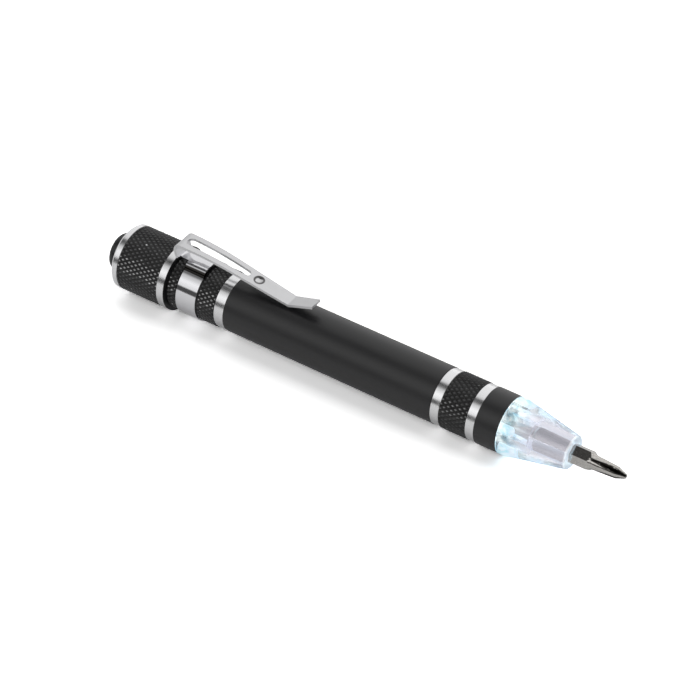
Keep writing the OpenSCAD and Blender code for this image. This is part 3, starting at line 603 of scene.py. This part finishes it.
def simple_material(name, colour, metallic, rough, grain=0.1):
    """One colour with the blasted grain."""
    material, shade, principled = new_material(name)
    group = shade.group("Blasted grain", {"Colour": colour, "Roughness": rough})
    shade.feed(principled.inputs["Base Color"], group.outputs["Colour"])
    shade.feed(principled.inputs["Roughness"], group.outputs["Roughness"])
    principled.inputs["Metallic"].default_value = metallic
    normal = shade.bump(group.outputs["Height"], strength=grain, distance=0.00002)
    shade.feed(principled.inputs["Normal"], normal)
    return material


def clip_material():
    """Plated steel, brushed on the arm and polished on the band and bridge, with painted shade in two strips
    at the folds of the bridge and in a ring round the dimple.
    """
    material, shade, principled = new_material("Plated clip")
    clip = bpy.context.scene.driver_clip
    axis = shade.group("Round the axis")
    height = shade.add("ShaderNodeSeparateXYZ", inputs={"Vector": shade.place()}).outputs["Z"]
    polished = shade.fall(height, 0.0080, 0.0088)
    behind = shade.fall(axis.outputs["Along"], -94.9, -94.0)
    polished = shade.math("MULTIPLY", polished, behind)
    side = shade.math("ABSOLUTE", axis.outputs["Angle"])
    # Painted shade: two dark strips at the folds of the bridge, the same on both sides.
    painted_fold_shade = shade.math("MULTIPLY", shade.between(side, 0.34, 0.50, 0.02), behind)
    painted_fold_shade = shade.math("MULTIPLY", painted_fold_shade, shade.fall(axis.outputs["Radius"], 7.9, 8.1))
    middle = shade.add("ShaderNodeVectorMath", operation="DISTANCE",
                       inputs={0: shade.stretch(shade.place(), (1, 1, 0)), 1: (clip.dimple_x, 0, 0)})
    ratio = shade.math("DIVIDE", middle.outputs["Value"], clip.dimple_d / 2)
    # Painted shade: a dark ring round the dimple.
    painted_dimple_shade = shade.between(ratio, 0.74, 1.08, 0.08)
    dished = shade.fall(ratio, 0.70, 0.80)
    strokes = shade.stretch(shade.place(), (60, 2500, 2500))
    brushed = shade.noise(strokes, scale=1.0, detail=3.0, roughness=0.6)
    satin = shade.noise(shade.place(), scale=5000.0, detail=2.0, roughness=0.6)
    cloud = shade.noise(shade.place(), scale=500.0, detail=3.0, roughness=0.6)
    darker, lighter = (tuple(factor * c for c in settings().clip) for factor in (0.93, 1.06))
    tone = shade.mix(cloud, darker, lighter)
    metal = shade.mix(polished, tone, tuple(settings().chrome))
    # Painted shade of the folds and of the dimple's rim, as near black.
    dark = shade.math("MAXIMUM", painted_fold_shade, shade.math("MULTIPLY", painted_dimple_shade, 0.85))
    shade.feed(principled.inputs["Base Color"], shade.mix(dark, metal, (0.03, 0.028, 0.026)))
    polished = shade.math("MAXIMUM", polished, dished)
    principled.inputs["Metallic"].default_value = 1.0
    dull = shade.math("MULTIPLY_ADD", cloud, 0.10, 0.30)
    clean = shade.math("MULTIPLY_ADD", cloud, 0.10, 0.03)
    shade.feed(principled.inputs["Roughness"], shade.blend(polished, dull, clean))
    grain = shade.math("MULTIPLY_ADD", satin, 0.6, shade.math("MULTIPLY", brushed, 0.4))
    waves = shade.math("MULTIPLY", cloud, 1.5)
    normal = shade.bump(shade.blend(polished, grain, waves), strength=0.12, distance=0.00003)
    shade.feed(principled.inputs["Normal"], normal)
    return material


def bit_material():
    """Hardened steel with a fine mottled grain, and painted shade in the flutes: near black with specks of
    steel.
    """
    material, shade, principled = new_material("Bit steel")
    bit = bpy.context.scene.driver_bit
    speck = shade.noise(shade.place(), scale=5200.0, detail=3.0, roughness=0.7)
    axis = shade.group("Round the axis")
    mottle = shade.smooth(speck, 0.42, 0.60)
    dark = tuple(0.7 * c for c in settings().bit)
    steel = shade.mix(mottle, dark, tuple(settings().bit))
    # Painted shade: the four flutes near the tip are made near black, with specks of steel.
    twice = shade.math("MULTIPLY_ADD", axis.outputs["Angle"], 2.0, -2 * bit.flute_turn)
    aside = shade.math("ABSOLUTE", shade.math("SINE", twice))
    wide = shade.math("MULTIPLY_ADD", shade.smooth(axis.outputs["Along"], 5.0, 9.5), 0.45, 0.40)
    ratio = shade.math("DIVIDE", aside, wide)
    middle = shade.fall(ratio, 0.80, 1.15)
    flute = shade.math("MULTIPLY", middle, shade.smooth(axis.outputs["Along"], 4.7, 5.1))
    chips = shade.smooth(shade.noise(shade.place(), scale=2600.0, detail=2.0, roughness=0.6), 0.60, 0.68)
    black = shade.mix(chips, (0.02, 0.018, 0.016), steel)
    shade.feed(principled.inputs["Base Color"], shade.mix(flute, steel, black))
    principled.inputs["Metallic"].default_value = 1.0
    shade.feed(principled.inputs["Roughness"], shade.math("MULTIPLY_ADD", speck, 0.12, 0.02))
    shade.feed(principled.inputs["Normal"], shade.bump(speck, strength=0.35, distance=0.00003))
    return material


def clear_material():
    """Clear acrylic, faintly lavender through the body and pale blue where it is seen edge on, with emission
    as painted light: faint through the body, a white painted highlight at the front rim, and painted lamp
    light, white with patches of cyan, round the lamps."""
    material, shade, principled = new_material("Clear acrylic")
    principled.inputs["Transmission Weight"].default_value = 0.86
    principled.inputs["IOR"].default_value = 1.49
    principled.inputs["Roughness"].default_value = 0.03
    axis = shade.group("Round the axis")
    along = axis.outputs["Along"]
    facing = shade.add("ShaderNodeLayerWeight", inputs={"Blend": 0.5}).outputs["Facing"]
    edge = shade.smooth(facing, 0.45, 0.95)
    body = shade.mix(edge, tuple(settings().clear), tuple(settings().clear_edge))
    patch = shade.smooth(shade.noise(shade.place(), scale=420.0, detail=2.0, roughness=0.5), 0.42, 0.56)
    root = shade.fall(along, -13.4, -11.6)
    # Painted lamp light: round the lamps the base colour is white with patches of cyan.
    painted_lamp_light = shade.mix(patch, (0.42, 0.72, 0.82), (1.0, 1.0, 1.0))
    shade.feed(principled.inputs["Base Color"], shade.mix(shade.math("MULTIPLY", root, 0.9), body, painted_lamp_light))
    # Painted light: emission through the body, pale blue at the edges, white at the front rim as a painted
    # highlight, and white in patches round the lamps.
    rim = shade.smooth(along, -0.5, -0.2)
    painted_lamp_sparkle = shade.math("MULTIPLY", root, patch)
    inside = shade.mix(edge, (0.26, 0.27, 0.30), (0.20, 0.36, 0.52))
    inside = shade.mix(painted_lamp_sparkle, inside, (0.8, 0.9, 0.9))
    front = shade.mix(edge, (1.2, 1.25, 1.25), (0.35, 0.55, 0.75))
    shade.feed(principled.inputs["Emission Color"], shade.mix(rim, inside, front))
    principled.inputs["Emission Strength"].default_value = settings().painted_light
    return material


def lamp_material():
    """Lit lamp."""
    material, shade, principled = new_material("Lit lamp")
    core = shade.smooth(shade.noise(shade.place(), scale=900.0, detail=2.0, roughness=0.5), 0.35, 0.65)
    shade.feed(principled.inputs["Emission Color"], shade.mix(core, (0.45, 0.80, 0.95), (0.95, 1.0, 1.0)))
    principled.inputs["Base Color"].default_value = (0.9, 0.97, 1.0, 1)
    principled.inputs["Emission Strength"].default_value = 0.5
    return material


class DRIVER_OT_finishes(Operator):
    """Give every frame node its finish."""

    bl_idname = "driver.finishes"
    bl_label = "Finishes"

    def execute(self, context):
        axis_group()
        turned_group()
        grain_group()
        rubbed_group()
        dress("barrel", black_and_bright("Handle finish", HANDLE_RINGS, HANDLE_KNURLS))
        dress("tail_cap", black_and_bright("Cap finish", CAP_RINGS, CAP_KNURLS))
        dress("front_sleeve", black_and_bright("Sleeve finish", SLEEVE_RINGS, SLEEVE_KNURLS))
        dress("pocket_clip", clip_material())
        steel = bit_material()
        for node in ("driver_bit", "spare_bit_1", "spare_bit_2", "spare_bit_3"):
            dress(node, steel)
        for name, colour, metallic, rough, nodes in PLAIN_FINISHES:
            finish = simple_material(name, colour, metallic, rough)
            for node in nodes:
                dress(node, finish)
        lamp = lamp_material()
        for node in ("lamp_1", "lamp_2", "lamp_3"):
            dress(node, lamp)
        dress("light_nose", clear_material())
        return {"FINISHED"}


class DRIVER_OT_nose(Operator):
    """Make the clear nose."""

    bl_idname = "driver.nose"
    bl_label = "Clear nose"

    def execute(self, context):
        """A profile carried round the axis, whose radius goes over from a circle to the hexagon of the
        socket by a share h: (1 - h) times the circle's radius plus h times the hexagon's radius."""
        nose = context.scene.driver_nose
        low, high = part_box("light_nose")
        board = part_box("lamp_board")[1]
        spigot_step = 0.7 * MM
        spigot_l = 2.5 * MM
        shoulder_r = 0.5 * MM
        pocket_step = 0.5 * MM
        board_play = 0.05 * MM
        mouth_l = 0.15 * MM
        mouth_rise = 0.12 * MM
        tip = nose.tip_d / 2
        collar = nose.collar_d / 2
        spigot = collar - spigot_step
        seat = low.x + spigot_l
        bore = nose.socket_af / np.sqrt(3) + pocket_step
        pocket = board.y + board_play
        shoulder = seat + nose.land_l
        front = high.x
        outer = [[low.x, spigot], [seat, spigot], [seat, collar]]
        outer += rounded((seat, collar), (shoulder, collar), (front, tip), shoulder_r)
        outer += np.stack([np.linspace(shoulder + MM, front - MM, 12),
                           collar + (tip - collar) * np.linspace(MM, front - shoulder - MM, 12)
                           / (front - shoulder)], 1).tolist()
        outer += rounded((shoulder, collar), (front, tip), (front, 0), nose.edge_r)
        mouth = [[front, 0], [front - mouth_l, 0], [front - nose.socket_l, 0]]
        inner = [[front - nose.socket_l, bore], [board.x, bore], [board.x, pocket], [low.x, pocket]]
        along = np.array([point[0] for point in outer + mouth + inner])
        round_r = np.array([point[1] for point in outer + mouth + inner])
        share = np.array([0.0] * len(outer) + [1.0] * len(mouth) + [0.0] * len(inner))
        angle = nose.socket_turn + np.linspace(0, 2 * np.pi, 193)[:-1]
        hexagon = hexagon_radius(angle, nose.socket_af, nose.socket_turn)
        mouth_open = np.zeros(len(along))
        mouth_open[len(outer)] = mouth_rise
        radius = (1 - share)[:, None] * round_r[:, None] + share[:, None] * (hexagon + mouth_open[:, None])
        points = ring_of_points(along[:, None], radius, angle[None, :])
        surface_piece("clear_nose", points, True, clear_material(), FRONT, "light_nose")
        return {"FINISHED"}


class DRIVER_OT_button(Operator):
    """Make the press button."""

    bl_idname = "driver.button"
    bl_label = "Press button"

    def execute(self, context):
        """A profile carried round the axis: a low crown, a quarter circle at its edge, the shaft, and the
        flange inside the cap with the bore of its pin."""
        low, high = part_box("tail_button")
        pin_low, pin_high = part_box("contact_pin")
        shaft = 4.6 * MM
        bend = 1.3 * MM
        crown_h = 0.35 * MM
        washer_gap = 0.1 * MM
        flange_l = 1.0 * MM
        pin_play = 0.02 * MM
        pin_gap = 0.01 * MM
        turn = np.linspace(0, np.pi / 2, 13)
        across = np.linspace(0, 1, 9)[:-1]
        crown = np.stack([low.x + crown_h * across ** 2, (shaft - bend) * across], 1)
        edge = np.stack([low.x + crown_h + bend * (1 - np.cos(turn)), shaft - bend + bend * np.sin(turn)], 1)
        front = high.x - washer_gap
        flange = high.x - flange_l
        bore = pin_high.z + pin_play
        pin_end = pin_low.x - pin_gap
        rest = np.array([[flange, shaft], [flange, high.z], [front, high.z], [front, bore],
                         [pin_end, bore], [pin_end, 0]])
        profile = np.concatenate([crown, edge, rest])
        angle = np.linspace(0, 2 * np.pi, 97)[:-1]
        points = ring_of_points(profile[:, :1], profile[:, 1:] * np.ones(angle.size), angle[None, :])
        black = simple_material("Button plastic", (0.012, 0.012, 0.014), 0.0, 0.32, 0.05)
        surface_piece("press_button", points, False, black, BUTTON, "tail_button")
        return {"FINISHED"}


class DRIVER_OT_spring(Operator):
    """Make the button's spring."""

    bl_idname = "driver.spring"
    bl_label = "Button spring"

    def execute(self, context):
        """A merged copy of the coil, with a mesh of its own, on the cap."""
        steel = bpy.data.materials["Plated steel"]
        piece = merged_copy("coil_spring", "button_spring", CAP, steel, 40)
        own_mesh(piece)
        return {"FINISHED"}


class DRIVER_OT_clip(Operator):
    """Make the pocket clip with rounded edges."""

    bl_idname = "driver.clip"
    bl_label = "Pocket clip"

    def execute(self, context):
        width = context.scene.driver_clip.edge
        rounded_copy("steel_clip", "pocket_clip", HANDLE, clip_material(), width)
        return {"FINISHED"}


class DRIVER_OT_bit(Operator):
    """Make the fitted bit."""

    bl_idname = "driver.bit"
    bl_label = "Fitted bit"

    def execute(self, context):
        """A surface round the axis, whose radius is the least of four: a profile turned round the axis; the
        hexagon; at the outer end the flutes, core / (cos t - sin t / tan h), where t is the angle from a
        flute's middle, h the half angle and core grows with the distance from the tip; and at the inner end
        the blade's two flats, half thickness / cos t."""
        bit = context.scene.driver_bit
        low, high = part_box("driver_bit")
        inset = 0.03 * MM
        least = 0.01
        beyond = 1.0
        middle = (low.x + high.x) / 2
        half = (high.x - low.x) / 2
        corner = bit.across_flats / np.sqrt(3)
        neck = bit.hexagon_l / 2 + bit.cone_l
        point = half - bit.point_l
        places = [0, bit.hexagon_l / 2, neck, point, half]
        radii = [corner, corner, bit.neck_d / 2, bit.point_d / 2, bit.tip_d / 2]
        cone, shank, tip = (np.linspace(*ends, count) for *ends, count in (
            (bit.hexagon_l / 2, neck, 11), (neck, point, 27), (point, half, 13)))
        outwards = np.concatenate([[bit.hexagon_l / 2 - inset], cone, shank[1:], tip[1:]])
        along = np.concatenate([-outwards[::-1], outwards])
        angle = bit.hexagon_turn + np.radians(np.arange(0, 360, 2))
        turned = np.interp(np.abs(along), places, radii)[:, None]
        hexagon = hexagon_radius(angle, bit.across_flats, bit.hexagon_turn)[None, :]
        fall = (bit.neck_d / 2 - bit.flute_core) / bit.flute_l
        core = bit.flute_core + (half - along) * fall
        aside = np.abs(np.mod(angle - bit.flute_turn + np.pi / 4, np.pi / 2) - np.pi / 4)
        opening = np.cos(aside) - np.sin(aside) / np.tan(bit.flute_half_angle)
        flute = np.where(opening > least, core[:, None] / np.maximum(opening, least)[None, :], beyond)
        flute[along < 0] = beyond
        thin = bit.blade_h / 2 + (half + along) * (bit.neck_d - bit.blade_h) / 2 / bit.blade_l
        flat = thin[:, None] / np.maximum(np.abs(np.cos(angle - bit.hexagon_turn)), least)[None, :]
        flat[along > 0] = beyond
        radius = np.minimum(np.minimum(turned, hexagon), np.minimum(flute, flat))
        along = np.concatenate([along[:1], along, along[-1:]])
        radius = np.concatenate([np.zeros((1, angle.size)), radius, np.zeros((1, angle.size))])
        points = ring_of_points(middle + along[:, None], radius, angle[None, :])
        surface_piece("cross_bit", points, False, bit_material(), BIT, "driver_bit", 20)
        return {"FINISHED"}


def floor_material():
    """White floor that keeps its shadow. The camera sees it overexposed, so that it is white away from the
    tool, and mirrors and glass see it a little brighter than it is."""
    material = bpy.data.materials.new("Floor")
    shade = empty_tree(material)
    output = shade.add("ShaderNodeOutputMaterial")
    path = shade.add("ShaderNodeLightPath")
    mirrored = shade.math("MAXIMUM", path.outputs["Is Glossy Ray"], path.outputs["Is Transmission Ray"])
    mirror_gain = shade.math("MULTIPLY", mirrored, 0.22)
    camera_gain = shade.math("MULTIPLY", path.outputs["Is Camera Ray"], 0.77)
    first = shade.math("ADD", 0.78, mirror_gain)
    matt = shade.add("ShaderNodeBsdfDiffuse", inputs={
        "Color": shade.add("ShaderNodeCombineXYZ", inputs={"X": first, "Y": first, "Z": first}).outputs[0]})
    more = shade.add("ShaderNodeBsdfDiffuse", inputs={
        "Color": shade.add("ShaderNodeCombineXYZ",
                           inputs={"X": camera_gain, "Y": camera_gain, "Z": camera_gain}).outputs[0]})
    both = shade.add("ShaderNodeAddShader", inputs={0: matt.outputs[0], 1: more.outputs[0]})
    again = shade.add("ShaderNodeAddShader", inputs={0: both.outputs[0], 1: more.outputs[0]})
    shade.links.new(again.outputs[0], output.inputs["Surface"])
    return material


class DRIVER_OT_stage(Operator):
    """Make the floor, the studio light and the camera."""

    bl_idname = "driver.stage"
    bl_label = "Stage"

    def execute(self, context):
        stage = context.scene.driver_stage
        self.make_floor(stage)
        self.make_sky(stage)
        self.make_camera(context)
        context.scene.view_settings.view_transform = "Standard"
        return {"FINISHED"}

    def make_floor(self, stage):
        """A flat square that touches the cap's rim and the nose's edge."""
        cap_low, cap_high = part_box("tail_cap")
        half = stage.floor_w / 2
        x = np.array([-half, half, half, -half])
        y = np.array([-half, -half, half, half])
        z = cap_low.z + (x - cap_high.x) * stage.floor_slope
        mesh = bpy.data.meshes.new("floor")
        mesh.from_pydata(np.stack([x, y, z], 1).tolist(), [], [(0, 1, 2, 3)])
        mesh.materials.append(floor_material())
        floor = bpy.data.objects.new("floor", mesh)
        bpy.context.scene.collection.objects.link(floor)

    def make_sky(self, stage):
        """White to the camera; to all else, long soft boxes parallel to the handle with dark gaps between."""
        world = bpy.data.worlds.new("Studio")
        bpy.context.scene.world = world
        shade = empty_tree(world)
        output = shade.add("ShaderNodeOutputWorld")
        direction = shade.add("ShaderNodeTexCoord").outputs["Generated"]
        xyz = shade.add("ShaderNodeSeparateXYZ", inputs={"Vector": direction})
        angle = shade.math("ARCTAN2", xyz.outputs["Y"], xyz.outputs["Z"])
        degrees = shade.math("MULTIPLY", angle, 180 / np.pi)
        turn = shade.math("MULTIPLY_ADD", degrees, 1 / 360, 0.5)
        ramp = shade.add("ShaderNodeValToRGB", inputs={"Fac": turn})
        ramp.color_ramp.interpolation = "EASE"
        elements = ramp.color_ramp.elements
        while len(elements) < len(SKY_STOPS):
            elements.new(0.5)
        for element, (degree, light) in zip(elements, SKY_STOPS):
            element.position = degree / 360 + 0.5
            element.color = (light, light, light, 1)
        path = shade.add("ShaderNodeLightPath")
        behind = shade.smooth(xyz.outputs["X"], -1.0, -0.3)
        strength = shade.math("MULTIPLY", shade.blend(behind, 0.6, 1.0), stage.sky)
        studio = shade.add("ShaderNodeBackground", inputs={"Color": ramp.outputs[0], "Strength": strength})
        white = shade.add("ShaderNodeBackground", inputs={"Color": (1, 1, 1), "Strength": 1.0})
        mixed = shade.add("ShaderNodeMixShader", inputs={
            0: path.outputs["Is Camera Ray"], 1: studio.outputs[0], 2: white.outputs[0]})
        shade.links.new(mixed.outputs[0], output.inputs["Surface"])

    def make_camera(self, context):
        """The photograph's camera, from its place and axes."""
        camera = bpy.data.cameras.new("camera")
        camera.lens = CAMERA_LENS
        camera.sensor_width = CAMERA_SENSOR
        camera.clip_start = 0.01
        camera.clip_end = 20
        placed = bpy.data.objects.new("camera", camera)
        turn = Matrix((CAMERA_RIGHT, CAMERA_UP, CAMERA_BACK)).transposed().to_4x4()
        placed.matrix_world = Matrix.Translation(CAMERA_PLACE) @ turn
        context.scene.collection.objects.link(placed)
        context.scene.camera = placed


class DRIVER_PT_panel(Panel):
    """Lists the pieces in the sidebar."""

    bl_idname = "DRIVER_PT_panel"
    bl_label = "Pocket screwdriver"
    bl_space_type = "VIEW_3D"
    bl_region_type = "UI"
    bl_category = "Screwdriver"

    def draw(self, context):
        for step in STEPS:
            self.layout.operator(step.bl_idname)


STEPS = (DRIVER_OT_finishes, DRIVER_OT_nose, DRIVER_OT_button, DRIVER_OT_spring, DRIVER_OT_clip,
         DRIVER_OT_bit, DRIVER_OT_stage)
CLASSES = (FinishSettings, NoseSettings, ClipSettings, BitSettings, StageSettings, *STEPS, DRIVER_PT_panel)


def register():
    """Registers the classes and their settings."""
    for cls in CLASSES:
        bpy.utils.register_class(cls)
    bpy.types.Scene.driver_finish = PointerProperty(type=FinishSettings)
    bpy.types.Scene.driver_nose = PointerProperty(type=NoseSettings)
    bpy.types.Scene.driver_clip = PointerProperty(type=ClipSettings)
    bpy.types.Scene.driver_bit = PointerProperty(type=BitSettings)
    bpy.types.Scene.driver_stage = PointerProperty(type=StageSettings)


def unregister():
    """Takes the settings and the classes away."""
    del bpy.types.Scene.driver_stage
    del bpy.types.Scene.driver_bit
    del bpy.types.Scene.driver_clip
    del bpy.types.Scene.driver_nose
    del bpy.types.Scene.driver_finish
    for cls in reversed(CLASSES):
        bpy.utils.unregister_class(cls)


def main():
    """Makes every piece."""
    register()
    bpy.ops.driver.finishes()
    bpy.ops.driver.nose()
    bpy.ops.driver.button()
    bpy.ops.driver.spring()
    bpy.ops.driver.clip()
    bpy.ops.driver.bit()
    bpy.ops.driver.stage()


if __name__ == "__main__":
    main()
